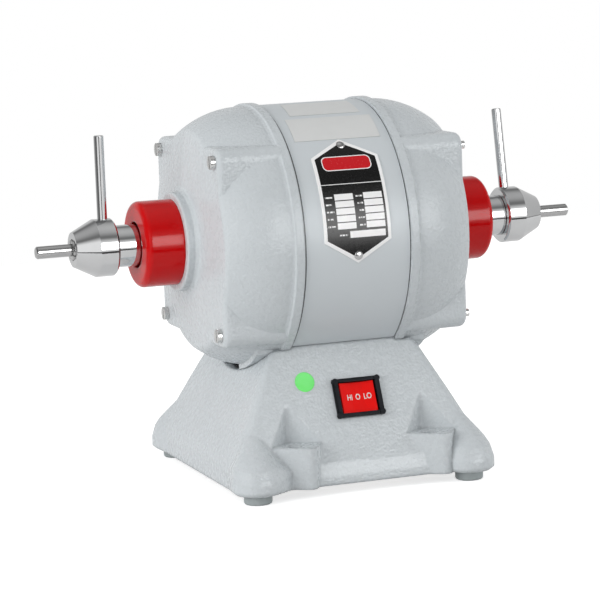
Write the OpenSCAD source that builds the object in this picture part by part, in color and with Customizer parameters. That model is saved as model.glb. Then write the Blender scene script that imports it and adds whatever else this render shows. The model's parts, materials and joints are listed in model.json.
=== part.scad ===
// Double-ended bench motor on a cast pedestal: a totally enclosed motor with a quick-release
// collet chuck on each end of its shaft, a three-position rocker switch and rubber feet.
// Millimetres. X runs along the spindle, Y to the back, Z up, with the bench at Z = 0.

/* [Motor] */
// Height of the spindle axis above the bench
spindle_z = 158; // [154:1:170]
// Outer radius of the stator shell
shell_r = 84; // [83:0.5:85]
// Wall of the stator shell
shell_wall = 3; // [2:0.5:3.5]
// Half the length of the stator shell between the end bells
shell_half = 36; // [35:0.5:40]
// How far the turned lips of the end bells stand out from the shell
lip_step = 1.7; // [1.5:0.1:2]
// Length of the turned lip
lip_length = 5.5; // [4:0.5:6.5]
// Distance from the motor's middle to the end faces of the bells
bell_end = 83.2; // [82:0.1:86]
// Wall of the end bell castings
bell_wall = 6; // [4:0.5:7]
// Radius of the four bolt corners of an end bell
bolt_corner_r = 8.55; // [8:0.05:9]
// Distance of the through bolts inside the shell's outer surface
bolt_in = 6.64; // [6.5:0.02:7]
// Thread diameter of the through bolts
bolt_d = 5; // [4:0.5:5]
// Diameter of the through bolts' slotted heads
bolt_head_d = 8.6; // [7:0.2:9]
// Outer radius of the hub ring round each shaft end
hub_r = 32; // [30:0.5:34]
// Distance from the motor's middle to the face of the hub ring
hub_face = 95; // [94:0.5:97]

/* [Hub caps] */
// Outer radius of the red hub caps
cap_r = 27.7; // [26:0.1:29]
// Distance from the motor's middle to the front of a hub cap
cap_front = 120; // [116:0.5:124]
// Wall of the hub caps
cap_wall = 2.5; // [1.5:0.5:3]
// Radius of the rounded front edge of a hub cap
cap_edge_r = 4; // [1:0.5:5]
// Radius of the hole that a chuck turns in
cap_hole_r = 15; // [14.5:0.5:18]

/* [Chucks] */
// Outer radius of the chuck sleeve
sleeve_r = 13.5; // [13:0.25:14]
// Radius of the thread that carries the nose
nose_thread_r = 12; // [11.5:0.25:12]
// Outer radius of the nose
nose_r = 18.5; // [17.5:0.5:20]
// Distance from the motor's middle to the back of the nose
nose_back = 135; // [133:0.5:137]
// Length of the cylindrical part of the nose
nose_straight = 12.5; // [12:0.5:16]
// Length of the conical part of the nose
nose_cone = 14; // [12:0.5:18]
// Radius of the nose's front face
nose_tip_r = 11.25; // [10:0.25:12]
// Diameter of the plain tommy bars
bar_d = 6.35; // [5:0.05:7]
// Height of a tommy bar's end above the spindle axis
bar_reach = 71.5; // [50:0.5:90]
// Lean of the right-hand tommy bar towards the back
bar_lean = 10; // [0:1:30]
// Diameter of the arbor pins held in the collets
pin_d = 7.94; // [6:0.01:8]
// Diameter of the shank of an arbor pin, inside the collet
pin_shank_d = 7.54; // [6:0.01:7.6]
// Distance from the motor's middle to the tip of an arbor pin
pin_tip = 185.6; // [180:0.1:200]

/* [Pedestal] */
// Height of the pedestal's rim above the bench
rim_z = 6.5; // [5:0.5:8]
// Height of the top edge of the front wall
top_z = 92.5; // [91:0.5:94]
// Half the width of the pedestal at its rim
rim_half_x = 85; // [83:0.5:88]
// Half the depth of the pedestal at its rim
rim_half_y = 85.5; // [84:0.1:90]
// Half the width of the pedestal under the motor
top_half_x = 48; // [46:0.5:49]
// Half the depth of the pedestal at its top edge
top_half_y = 51.2; // [50:0.1:53]
// Wall of the pedestal casting
wall = 6; // [5:0.5:7]
// Sideways distance of the feet from the middle
foot_x = 72.2; // [70:0.2:74]
// Distance of the feet from the middle, front to back
foot_y = 82.4; // [80:0.2:84]
// Radius of the rounded corner pads that carry the feet
pad_r = 16.5; // [15:0.5:18]
// Radius of the rubber feet
foot_r = 9; // [8:0.5:10]

/* [Bench bolts] */
// Sideways distance of the bench bolt holes from the middle
bench_x = 46; // [44:0.5:48]
// Distance of the bench bolt holes from the middle, front to back
bench_y = 79.5; // [78:0.5:81]
// Diameter of the bench bolt holes
bench_hole_d = 8.7; // [6:0.1:9]
// Height of the ledges that the bench bolts clamp
ledge_z = 33; // [31:0.5:35]

/* [Switch] */
// Width of the switch bezel
bezel_w = 31.9; // [31:0.1:34]
// Height of the switch bezel
bezel_h = 25.4; // [25:0.1:28]
// Sideways place of the switch on the front wall
switch_x = 3; // [-5:0.5:10]
// Height of the middle of the switch
switch_z = 57.5; // [55:0.5:62]

/* [Electrical] */
// Diameter of the run capacitor
cap_can_d = 36; // [30:1:38]
// Length of the run capacitor
cap_can_l = 62; // [50:1:66]
// Diameter of the lead wires
lead_d = 3; // [2:0.5:4]

/* [Clearances] */
// Gap between castings and what seats in or on them
seat_gap = 0.3; // [0.2:0.05:0.5]
// Radial gap of turning and sliding fits
running_gap = 0.05; // [0.02:0.01:0.08]
// Gap between the rotor and the stator
air_gap = 0.5; // [0.3:0.1:1]
// Radial gap between a screw and the hole it is threaded into
thread_gap = 0.01; // [0.01:0.01:0.05]

/* [Hidden] */
$fn = 64;
TURN_FN = 96;
EPS = 0.01;
FAR = 200;
PAINT = [0.78, 0.80, 0.81];
CAST_PAINT = [0.76, 0.79, 0.80];
RED = [0.72, 0.04, 0.06];
STEEL = [0.75, 0.76, 0.78];
RUBBER = [0.28, 0.29, 0.30];
BLACK = [0.08, 0.09, 0.10];
COPPER = [0.72, 0.42, 0.22];
ZINC = [0.80, 0.81, 0.80];

// Motor
lip_r = shell_r + lip_step;
lip_end = shell_half + lip_length;
dome_start = lip_end + 2.5;
dome_r = shell_r - 0.1;
dome_curve_r = 62;
dome_edge_r = 6;
face_bulge = 4.3;
spigot_length = 5;
spigot_r = shell_r - shell_wall - seat_gap;
spigot_inner_r = spigot_r - 5;
bolt_r = bolt_d / 2;
bolt_past = 3.6;
bolt_head_h = 3;
bolt_slot_w = 1.2;
bolt_offset = (shell_r - bolt_in) / sqrt(2);
bolt_boss_r = 8;
stack_half = shell_half - spigot_length - 1;
stator_bore_r = shell_r - 39;
slot_count = 24;
slot_inner_r = stator_bore_r + 4;
slot_outer_r = shell_r - 16;
slot_w = 6.4;
winding_gap = 0.35;
winding_reach = stack_half + 23;
winding_inner_r = slot_inner_r + 2;
winding_outer_r = shell_r - bolt_in - bolt_boss_r - 2 * winding_gap;
winding_inner_round = 5;
winding_outer_round = 7;
rotor_r = stator_bore_r - air_gap;
end_ring_t = 9;
fin_count = 8;
fin_l = 9;

// Bearings, 17 x 40 x 12 with eight balls
bearing_bore_r = 8.5;
bearing_outer_r = 20;
bearing_w = 12;
bearing_x = 74;
ball_r = 3.375;
ball_count = 8;
ball_pitch_r = 14.25;
race_gap = 0.1;
race_shoulder = 2.4;
spacer_t = 2;
bearing_shoulder_x = bearing_x + bearing_w + spacer_t;
boss_r = bearing_outer_r + 6;
boss_face_x = bearing_x - 4;
wave_t = 0.5;
wave_height = (spacer_t - wave_t) / 2;
wave_count = 4;
wave_steps = 48;

// Shaft
shaft_mid_r = 11;
shaft_end_r = 8;
shaft_end_x = 122;
shaft_hole_r = 10;
groove_depth = 0.7;
snap_t = 1.2;
snap_outer_r = bearing_bore_r + 2.2;

// Hub caps
cap_seat_length = 6;
cap_seat_r = cap_r - cap_wall - running_gap;

// Chucks
sleeve_x = 101;
nose_length = nose_straight + nose_cone;
nose_front = nose_back + nose_length;
nose_edge = 1.2;
body_front = nose_front - 10;
collet_shank_r = 6.5;
collet_head_r = 8.9;
collet_tip_r = 6.3;
collet_back = shaft_end_x + 2;
collet_tip = nose_front + 1;
collet_slot_w = 0.9;
collet_slots = 3;
pin_r = pin_d / 2;
pin_shank_r = pin_shank_d / 2;
pin_shoulder = collet_tip + seat_gap;
pin_back = collet_back + 2;
pin_chamfer = 0.8;
bar_r = bar_d / 2;
bar_x = nose_back + 6;
bar_chamfer = 0.5;
set_screw_r = 2.5;
set_screw_x = 110;

// Pedestal
shoulder_z = 24;
skirt_z = 16;
wall_slope = (rim_half_y - top_half_y) / (top_z - skirt_z);
wall_tilt = atan(wall_slope);
side_slope = (rim_half_x - top_half_x) / (top_z - shoulder_z);
saddle_r = lip_r + seat_gap;
foot_z = rim_z;
pad_blend_z = 42;
pad_blend_r = 4;
pad_blend_in = 5.4;
pad_blend_reach = 26;
pad_blend_top = 18;
pad_web_reach = 22;
pad_root_r = 2;
pad_root_in = pad_root_r + 0.8;
foot_boss_r = foot_r + 1.5;
foot_boss_top = 22;
foot_pad_x = dome_start + 14;
foot_pad_in = 14;
foot_pad_out = 49;
motor_bolt_r = 3;
motor_bolt_x = dome_start + 3;
motor_bolt_y = 31;
motor_boss_r = 8;
motor_boss_z = 58;
plate_t = 1.5;
plate_z = rim_z + 2;
plate_top = plate_z + plate_t;
plate_boss_r = 6;
plate_boss_top = 22;
plate_boss_x = rim_half_x - wall - 5;
plate_boss_y = rim_half_y - wall - 5;
plate_screw_l = 10;
plate_screw_r = 2;
foot_screw_r = 2;

// Bench bolt lugs, given from the hole's centre
lug_left = -14.6;
lug_right = 19.5;
lug_seat_y = bench_y - side_y(ledge_z);
lug_front = [9.2, -13.4];
lug_front_r = 5;
pocket_back = [0.4, 12.9];
pocket_wall = 4.5;

// Switch
bezel_t = 2.5;
opening_w = 25.2;
opening_h = 20.4;
housing_w = 27.6;
housing_h = 22.8;
housing_depth = 22;
rocker_pivot = 3;
rocker_r = opening_w / 2 - 0.1;
rocker_edge = 22;
rocker_under = 20;
rocker_dip = 1.2;
rocker_half_h = opening_h / 2 - 0.3;
rocker_pin_r = 1.2;

// Electrical
can_r = cap_can_d / 2;
can_y = 32;
can_z = plate_top + can_r + seat_gap;
clamp_w = 14;
clamp_t = 1.2;
clamp_foot = 10;
bushing_z = 36;
bushing_r = 6.2;
bushing_bore_r = 3.6;
grommet_r = 4.5;
grommet_x = dome_start + 5;
lead_r = lead_d / 2;

// Rating plate, labels and sticker
plate_gap = 0.05;
sheet_t = 0.5;
rating_mid = 20.5;
rating_half_w = 22.5;
rating_corner = 19.1;
rating_apex = 28.6;
rivet_angle = 25.2;
rivet_r = 2.8;
rivet_h = 1.2;
rivet_edge = 0.25;
rivet_gap = 0.02;
label_t = 0.2;
// Labels as [middle angle, half angle, lower left x, lower right x, upper left x, upper right x]
labels = [[76.5, 8.2, -23, 25, -21, 25], [57.4, 8, -29, 29, -28, 30]];
sticker_r = 6.5;
sticker_x = -30.7;
sticker_z = 69.7;

// Points on an arc about [cx, cy] from angle a0 to a1
function arc(cx, cy, r, a0, a1, steps = 8) =
    [for (i = [0:steps]) let (a = a0 + (a1 - a0) * i / steps) [cx + r * cos(a), cy + r * sin(a)]];

// Half the width of the pedestal's side walls at a height
function side_x(z) = z < shoulder_z ? rim_half_x : top_half_x + (top_z - z) * side_slope;

// Half the depth of the pedestal between its front and back walls at a height
function side_y(z) = z < skirt_z ? rim_half_y : top_half_y + (top_z - z) * wall_slope;

// A solid turned about the spindle, with the profile's points as [radius, x]
module turned(points) {
    translate([0, 0, spindle_z]) rotate([0, 90, 0]) rotate_extrude($fn = TURN_FN) polygon(points);
}

// A cylinder on the spindle axis between two x values
module on_spindle(r, x0, x1) {
    translate([x0, 0, spindle_z]) rotate([0, 90, 0]) cylinder(r = r, h = x1 - x0, $fn = TURN_FN);
}

// Children repeated at the four through bolts
module at_through_bolts() {
    for (y = [-bolt_offset, bolt_offset]) {
        for (z = [-bolt_offset, bolt_offset]) {
            translate([0, y, spindle_z + z]) children();
        }
    }
}

// Children repeated at the four feet, or at any four places mirrored about the middle
module at_four(x, y) {
    for (sx = [-1, 1]) {
        for (sy = [-1, 1]) {
            translate([sx * x, sy * y, 0]) children();
        }
    }
}

// Children repeated at the bench bolts: the back pair is the front pair turned about Z
module at_bench_bolts() {
    for (turn = [0, 180]) {
        for (x = [-bench_x, bench_x]) {
            rotate([0, 0, turn]) translate([x, -bench_y, 0]) children();
        }
    }
}

// Children placed on the front wall, with local Z out of the wall and local Y up it
module on_front_wall(x, z) {
    translate([x, -side_y(z), z]) rotate([90 - wall_tilt, 0, 0]) children();
}

// One level of the pedestal's outline, moved in by inset
module pedestal_level(z, half_x, half_y, corner_r, inset) {
    r = max(corner_r - inset / 2, 1);
    x = half_x - inset - r;
    y = half_y - inset - r;
    translate([0, 0, z]) linear_extrude(EPS) offset(r = r, $fn = 32) square([2 * x, 2 * y], center = true);
}

// The pedestal's outer form, or its hollow with an inset, reaching past the rim and the top
module pedestal_form(inset, past) {
    hull() {
        pedestal_level(rim_z - past, rim_half_x, rim_half_y, 12, inset);
        pedestal_level(skirt_z - 4, rim_half_x, rim_half_y - 0.3, 12, inset);
        pedestal_level(shoulder_z - 4, rim_half_x - 0.3, side_y(shoulder_z - 4), 12, inset);
        pedestal_level(shoulder_z + 2, side_x(shoulder_z + 2) - 0.8, side_y(shoulder_z + 2), 11, inset);
        pedestal_level(shoulder_z + 10, side_x(shoulder_z + 10), side_y(shoulder_z + 10), 10, inset);
        pedestal_level(top_z - 36, side_x(top_z - 36), side_y(top_z - 36), 6, inset);
        pedestal_level(top_z - 9, side_x(top_z - 9), side_y(top_z - 9), 4, inset);
        pedestal_level(top_z - 4, side_x(top_z - 4) - 1, side_y(top_z - 4), 3, inset);
        pedestal_level(top_z - 1, side_x(top_z - 1) - 4, side_y(top_z - 1), 3, inset);
        pedestal_level(top_z + past, side_x(top_z) - 7, side_y(top_z + past), 2, inset);
    }
}

// The corner pad that carries the foot on the +X +Y corner: rounded below, then leaning in to the ridge
// above it. Where web is true it also runs on into the nearest bench bolt lug.
module corner_pad(web) {
    // Each level is its height above the rim, how much smaller it is, and how far it has moved in
    levels = [[0, 2.5, 0], [2, 0, 0], [8, 0, 0], [16, 2, 1.4], [20.5, 4.2, 3.4], [24, 6.5, 5.9]];
    hull() {
        for (l = levels) {
            translate([foot_x, foot_y - l[2], rim_z + l[0]]) cylinder(r = pad_r - l[1], h = EPS, $fn = 32);
        }
        translate([side_x(pad_blend_z) - pad_blend_in, side_y(pad_blend_z) - pad_blend_in, pad_blend_z])
            cylinder(r = pad_blend_r, h = EPS, $fn = 16);
        translate([rim_half_x - pad_root_in, foot_y - pad_blend_reach, rim_z])
            cylinder(r = pad_root_r, h = pad_blend_top - rim_z, $fn = 8);
        if (web) translate([foot_x - pad_web_reach, rim_half_y - pad_root_in, rim_z])
            cylinder(r = pad_root_r, h = pad_blend_top - rim_z, $fn = 8);
    }
}

// Plan of a bench bolt lug below its ledge
module lug_plan() {
    corner = arc(lug_front[0] - 1.6, lug_front[1] + 6.9, lug_front_r, -125, -32, 6);
    polygon(concat([[lug_left, lug_seat_y]], corner, [[lug_right, lug_seat_y], [16, 11], [-12, 11]]));
}

// Plan of the pocket above a ledge, moved out by grow, and open to the front
module pocket_plan(grow) {
    back = arc(pocket_back[0], pocket_back[1] - 3.6, 3 + grow, 60, 125, 6);
    polygon(concat([[lug_right + grow * 1.2, lug_seat_y]], back,
                   [[lug_left - grow * 1.2, lug_seat_y], [lug_left - grow * 1.2, -30],
                    [lug_right + grow * 1.2, -30]]));
}

module pedestal() {
    color(CAST_PAINT)
    difference() {
        union() {
            difference() {
                union() {
                    pedestal_form(0, 0);
                    for (mx = [0, 1]) {
                        for (my = [0, 1]) {
                            mirror([mx, 0, 0]) mirror([0, my, 0]) corner_pad(mx == my);
                        }
                    }
                }
                pedestal_form(wall, 4);
            }
            at_four(foot_x, foot_y)
                translate([0, 0, rim_z]) cylinder(r = foot_boss_r, h = foot_boss_top - rim_z);
            at_bench_bolts() translate([0, 0, rim_z]) linear_extrude(ledge_z - rim_z) lug_plan();
            intersection() {
                at_bench_bolts()
                    translate([0, 0, ledge_z - pocket_wall]) linear_extrude(32) pocket_plan(pocket_wall);
                union() {
                    for (turn = [0, 180]) {
                        rotate([0, 0, turn])
                            on_front_wall(0, ledge_z) translate([-100, -40, -40]) cube([200, 120, 40 - EPS]);
                    }
                }
            }
            at_four(motor_bolt_x, motor_bolt_y)
                translate([0, 0, motor_boss_z]) cylinder(r = motor_boss_r, h = 24);
            for (side = [-1, 1]) {
                translate([side * plate_boss_x, 0, plate_top])
                    cylinder(r = plate_boss_r, h = plate_boss_top - plate_top);
                translate([0, side * plate_boss_y, plate_top])
                    cylinder(r = plate_boss_r, h = plate_boss_top - plate_top);
            }
        }
        on_spindle(shell_r + seat_gap, -FAR, FAR);
        on_spindle(saddle_r, shell_half - seat_gap, FAR);
        on_spindle(saddle_r, -FAR, seat_gap - shell_half);
        at_bench_bolts() {
            translate([0, 0, ledge_z]) linear_extrude(60) pocket_plan(0);
            translate([0, 0, -1]) cylinder(d = bench_hole_d, h = ledge_z + 2);
        }
        at_four(foot_x, foot_y) cylinder(r = foot_screw_r + thread_gap, h = rim_z + 12);
        at_four(motor_bolt_x, motor_bolt_y) cylinder(r = motor_bolt_r + seat_gap, h = 100);
        for (side = [-1, 1]) {
            translate([side * plate_boss_x, 0, 0])
                cylinder(r = plate_screw_r + thread_gap, h = plate_boss_top - 2);
            translate([0, side * plate_boss_y, 0])
                cylinder(r = plate_screw_r + thread_gap, h = plate_boss_top - 2);
        }
        on_front_wall(switch_x, switch_z)
            cube([housing_w + 2 * seat_gap, housing_h + 2 * seat_gap, 40], center = true);
        rotate([0, 0, 180])
            on_front_wall(0, bushing_z) cylinder(r = bushing_r + seat_gap, h = 40, center = true);
    }
}

module bottom_plate() {
    half_x = side_x(plate_z) - wall - 1;
    half_y = side_y(plate_z) - wall - 1;
    color(ZINC)
    difference() {
        translate([-half_x, -half_y, plate_z]) cube([2 * half_x, 2 * half_y, plate_t]);
        at_four(foot_x, foot_y) translate([0, 0, plate_z - 1]) cylinder(r = foot_boss_r + 1.5, h = plate_t + 2);
        at_bench_bolts() translate([0, 0, plate_z - 1]) linear_extrude(plate_t + 2) offset(r = 1) lug_plan();
        for (side = [-1, 1]) {
            translate([side * plate_boss_x, 0, 0]) cylinder(r = plate_screw_r + seat_gap, h = 30);
            translate([0, side * plate_boss_y, 0]) cylinder(r = plate_screw_r + seat_gap, h = 30);
        }
        clamp_holes();
    }
}

module bottom_plate_screws() {
    color(STEEL)
    for (side = [-1, 1]) {
        for (place = [[side * plate_boss_x, 0], [0, side * plate_boss_y]]) {
            translate([place[0], place[1], 0]) pan_screw(plate_screw_r, 3.8, 1.6, plate_z, plate_screw_l);
        }
    }
}

// A screw that points up, with its slotted pan head below head_z
module pan_screw(thread_r, head_r, head_h, head_z, length) {
    difference() {
        union() {
            translate([0, 0, head_z - head_h]) cylinder(r = head_r, h = head_h);
            translate([0, 0, head_z - EPS]) cylinder(r = thread_r, h = length);
        }
        translate([-head_r, -0.5, head_z - head_h - EPS]) cube([2 * head_r, 1, head_h / 2]);
    }
}

module rubber_feet() {
    profile = concat([[foot_screw_r + 1, 2.5]], [[4.6, 2.5], [4.6, 0]], arc(foot_r - 1.5, 1.5, 1.5, -90, 0, 4),
                     [[foot_r, foot_z], [foot_screw_r + 1, foot_z]]);
    color(RUBBER)
    at_four(foot_x, foot_y) rotate_extrude() polygon(profile);
}

module foot_screws() {
    color(STEEL)
    at_four(foot_x, foot_y) pan_screw(foot_screw_r, 4, 1.6, 2.5, 12);
}

module cord_bushing() {
    color(BLACK)
    rotate([0, 0, 180]) on_front_wall(0, bushing_z) rotate_extrude()
        polygon([[bushing_bore_r, -wall - 4], [bushing_r, -wall - 4], [bushing_r, 0], [bushing_r + 2.2, 0],
                 [bushing_r + 1.6, 2.2], [bushing_bore_r, 2.2]]);
}

module switch_housing() {
    color(BLACK)
    on_front_wall(switch_x, switch_z) {
        difference() {
            union() {
                translate([-bezel_w / 2, -bezel_h / 2, 0]) cube([bezel_w, bezel_h, bezel_t - 0.6]);
                translate([-bezel_w / 2 + 0.6, -bezel_h / 2 + 0.6, 0])
                    cube([bezel_w - 1.2, bezel_h - 1.2, bezel_t]);
                for (sx = [-1, 1]) {
                    for (sy = [-1, 1]) {
                        translate([sx * (bezel_w / 2 - 1.6), sy * (bezel_h / 2 - 1.6), 0])
                            cylinder(r = 1.9, h = bezel_t + 0.5, $fn = 24);
                    }
                }
                translate([-housing_w / 2, -housing_h / 2, -housing_depth])
                    cube([housing_w, housing_h, housing_depth + EPS]);
                for (x = [-8, 0, 8]) {
                    translate([x - 0.4, -3.15, -housing_depth - 7]) cube([0.8, 6.3, 7 + EPS]);
                }
            }
            translate([-opening_w / 2, -opening_h / 2, -16]) cube([opening_w, opening_h, 20]);
            translate([0, 0, -rocker_pivot]) rotate([90, 0, 0])
                cylinder(r = rocker_pin_r + running_gap, h = housing_h + 2, center = true);
        }
    }
}

module switch_rocker() {
    top = [rocker_r * cos(rocker_edge), rocker_r * sin(rocker_edge)];
    side = arc(0, 0, rocker_r, -rocker_under, rocker_edge, 8);
    other = arc(0, 0, rocker_r, 180 - rocker_edge, 180 + rocker_under, 8);
    color("red")
    on_front_wall(switch_x, switch_z) translate([0, 0, -rocker_pivot]) rotate([90, 0, 0]) {
        translate([0, 0, -rocker_half_h]) linear_extrude(2 * rocker_half_h)
            polygon(concat(side, [[4, top[1] - rocker_dip], [-4, top[1] - rocker_dip]], other));
        cylinder(r = rocker_pin_r, h = housing_h - 0.4, center = true);
    }
}

module run_capacitor() {
    color(BLACK)
    translate([0, can_y, can_z]) rotate([0, 90, 0]) {
        translate([0, 0, -cap_can_l / 2]) cylinder(r = can_r - 1, h = cap_can_l);
        translate([0, 0, -cap_can_l / 2 + 1]) cylinder(r = can_r, h = cap_can_l - 3);
        for (y = [-6, 6]) {
            translate([-3.15, y - 0.4, cap_can_l / 2 - EPS]) cube([6.3, 0.8, 8]);
        }
    }
}

// Holes for the capacitor clamp's screws
module clamp_holes() {
    for (side = [-1, 1]) {
        translate([0, can_y + side * (can_r + clamp_t + clamp_foot / 2), 0])
            cylinder(r = 1.5 + seat_gap / 2, h = 20);
    }
}

module capacitor_clamp() {
    band_r = can_r + seat_gap;
    color(ZINC)
    difference() {
        union() {
            translate([-clamp_w / 2, can_y, can_z]) rotate([0, 90, 0])
                cylinder(r = band_r + clamp_t, h = clamp_w);
            translate([-clamp_w / 2, can_y - band_r - clamp_t, plate_top])
                cube([clamp_w, 2 * (band_r + clamp_t), can_z - plate_top]);
            translate([-clamp_w / 2, can_y - band_r - clamp_foot, plate_top])
                cube([clamp_w, 2 * (band_r + clamp_foot), clamp_t]);
        }
        translate([-clamp_w, can_y, can_z]) rotate([0, 90, 0]) cylinder(r = band_r, h = 2 * clamp_w);
        translate([-clamp_w, can_y - band_r, 0]) cube([2 * clamp_w, 2 * band_r, can_z]);
        clamp_holes();
    }
}

module clamp_screws() {
    color(STEEL)
    for (side = [-1, 1]) {
        translate([0, can_y + side * (can_r + clamp_t + clamp_foot / 2), plate_top + clamp_t])
            mirror([0, 0, 1]) pan_screw(1.5, 3, 1.4, 0, 4);
    }
}

module motor_bolts() {
    color(STEEL)
    at_four(motor_bolt_x, motor_bolt_y) {
        translate([0, 0, motor_boss_z - 4]) cylinder(r = 5.77, h = 4, $fn = 6);
        translate([0, 0, motor_boss_z - EPS]) cylinder(r = motor_bolt_r, h = 26);
    }
}

module lead_grommet() {
    color(BLACK)
    translate([-grommet_x, 0, 0]) difference() {
        union() {
            translate([0, 0, spindle_z - dome_r - 1.6]) cylinder(r = grommet_r + 1.7, h = 1.2);
            translate([0, 0, spindle_z - dome_r - 1]) cylinder(r = grommet_r, h = bell_wall + 2);
        }
        translate([0, 0, spindle_z - dome_r - 5]) cylinder(r = 2 * lead_r + 0.4, h = 30);
    }
}

// A round wire along a chain of points, a little fuller at the bends
module wire(points) {
    for (i = [0:len(points) - 2]) {
        run = points[i + 1] - points[i];
        translate(points[i]) rotate([0, acos(run[2] / norm(run)), atan2(run[1], run[0])])
            cylinder(r = lead_r, h = norm(run), $fn = 12);
        if (i > 0) translate(points[i]) sphere(r = lead_r + running_gap, $fn = 12);
    }
}

module lead_wires() {
    tab = -side_y(switch_z) + (housing_depth + 7.5) * cos(wall_tilt);
    tab_z = switch_z - (housing_depth + 7.5) * sin(wall_tilt);
    side = lead_r + 0.1;
    color(COPPER) {
        wire([[switch_x - 8, tab, tab_z], [-12, -25, 50], [-grommet_x + 4, -side, 62], [-grommet_x, -side, 70],
              [-grommet_x, -side, 84.5]]);
        wire([[cap_can_l / 2 + 8.5, can_y - 6, can_z], [50, can_y - 8, can_z + 14], [0, 8, 62],
              [-grommet_x + 4, side, 64], [-grommet_x, side, 70], [-grommet_x, side, 84.5]]);
        wire([[switch_x + 8, tab, tab_z], [30, -10, 38], [50, can_y + 2, can_z - 4],
              [cap_can_l / 2 + 8.5, can_y + 6, can_z]]);
    }
}

module stator_shell() {
    color(PAINT)
    difference() {
        on_spindle(shell_r, seat_gap - shell_half, shell_half - seat_gap);
        on_spindle(shell_r - shell_wall, -FAR, FAR);
    }
}

module stator_core() {
    color(STEEL)
    difference() {
        on_spindle(shell_r - shell_wall - running_gap, -stack_half, stack_half);
        on_spindle(stator_bore_r, -FAR, FAR);
        at_through_bolts() rotate([0, 90, 0]) cylinder(r = bolt_r + 0.8, h = FAR, center = true);
        for (i = [0:slot_count - 1]) {
            translate([0, 0, spindle_z]) rotate([i * 360 / slot_count, 0, 0]) slot_shape(0, FAR);
        }
    }
}

// One stator slot, or the winding in it with a gap all round
module slot_shape(gap, half_length) {
    width = slot_w - 2 * gap;
    translate([-half_length, -width / 2, slot_inner_r + gap])
        cube([2 * half_length, width, slot_outer_r - slot_inner_r - 2 * gap]);
}

module stator_windings() {
    reach = winding_reach;
    inner = winding_inner_r;
    outer = winding_outer_r;
    start = stack_half + winding_gap;
    r_in = winding_inner_round;
    r_out = winding_outer_round;
    profile = concat([[inner, start]], arc(inner + r_in, reach - r_in, r_in, 180, 90, 4),
                     arc(outer - r_out, reach - r_out, r_out, 90, 0, 4), [[outer, start]]);
    color(COPPER) {
        turned(profile);
        mirror([1, 0, 0]) turned(profile);
        for (i = [0:slot_count - 1]) {
            translate([0, 0, spindle_z]) rotate([i * 360 / slot_count, 0, 0])
                slot_shape(winding_gap, stack_half + 1);
        }
    }
}

// The end bell on the +X side, with its bolt holes and, where wire_hole is true, a lead hole below it
module end_bell(bolt_hole_r, wire_hole) {
    dome_end = 90 - asin((bell_end - dome_edge_r - dome_start) / (dome_curve_r - dome_edge_r));
    edge_r = dome_r - dome_curve_r + (dome_curve_r - dome_edge_r) * sin(dome_end);
    outline = [for (p = concat(arc(dome_start, dome_r - dome_curve_r, dome_curve_r, 90, dome_end, 12),
                               arc(bell_end - dome_edge_r, edge_r, dome_edge_r, dome_end, 0, 4))) [p[1], p[0]]];
    hollow = [for (p = arc(dome_start, dome_r - dome_curve_r, dome_curve_r - bell_wall, 90, dome_end, 8))
              [p[1], p[0]]];
    face = bell_end + face_bulge;
    difference() {
        union() {
            turned(concat([[0, shell_half], [lip_r, shell_half],
                           [lip_r, lip_end], [dome_r + 0.5, lip_end + 0.8]],
                          outline,
                          [[hub_r + 3, face], [hub_r + 1.2, face + 0.6], [hub_r, face + 2.4],
                           [hub_r, hub_face - 1], [hub_r - 1, hub_face], [cap_seat_r, hub_face],
                           [cap_seat_r, hub_face + cap_seat_length], [0, hub_face + cap_seat_length]]));
            corner_block();
            foot_pads();
            turned([[spigot_inner_r, shell_half - spigot_length], [spigot_r, shell_half - spigot_length],
                    [spigot_r, shell_half + 1], [spigot_inner_r, shell_half + 1]]);
        }
        difference() {
            turned(concat([[0, shell_half - 1], [spigot_inner_r, shell_half - 1],
                           [dome_r - bell_wall - 1, lip_end]], hollow,
                          [[boss_r, bell_end - bell_wall], [boss_r, boss_face_x], [0, boss_face_x]]));
            at_through_bolts()
                translate([lip_end, 0, 0]) rotate([0, 90, 0]) cylinder(r = bolt_boss_r, h = FAR);
        }
        on_spindle(bearing_outer_r + running_gap, 0, bearing_shoulder_x);
        on_spindle(shaft_hole_r, 0, FAR);
        on_spindle(sleeve_r + 2.5, hub_face - 2, FAR);
        at_through_bolts() rotate([0, 90, 0]) cylinder(r = bolt_hole_r, h = FAR);
        for (y = [-motor_bolt_y, motor_bolt_y]) {
            translate([motor_bolt_x, y, 50]) cylinder(r = motor_bolt_r + running_gap, h = 36);
        }
        if (wire_hole) translate([grommet_x, 0, 50]) cylinder(r = grommet_r + seat_gap, h = 40);
    }
}

// The rounded square block that forms the four bolt corners, with its end edges rounded
module corner_block() {
    round_r = 4;
    translate([0, 0, spindle_z]) rotate([0, 90, 0]) hull() {
        for (p = concat([[bolt_corner_r, lip_end - 1]],
                        arc(bolt_corner_r - round_r, bell_end - round_r, round_r, 0, 75, 3))) {
            translate([0, 0, p[1]]) linear_extrude(EPS)
                offset(r = p[0], $fn = 32) square(2 * bolt_offset, center = true);
        }
    }
}

// The two feet under an end bell that rest in the pedestal's saddle
module foot_pads() {
    for (side = [0, 1]) {
        mirror([0, side, 0]) intersection() {
            on_spindle(lip_r, lip_end - 1, foot_pad_x);
            translate([0, foot_pad_in, 50]) cube([200, foot_pad_out - foot_pad_in, 60]);
        }
    }
}

module left_end_bell() {
    color(CAST_PAINT) mirror([1, 0, 0]) end_bell(bolt_r + seat_gap, true);
}

module right_end_bell() {
    color(CAST_PAINT) end_bell(bolt_r + thread_gap, false);
}

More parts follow.
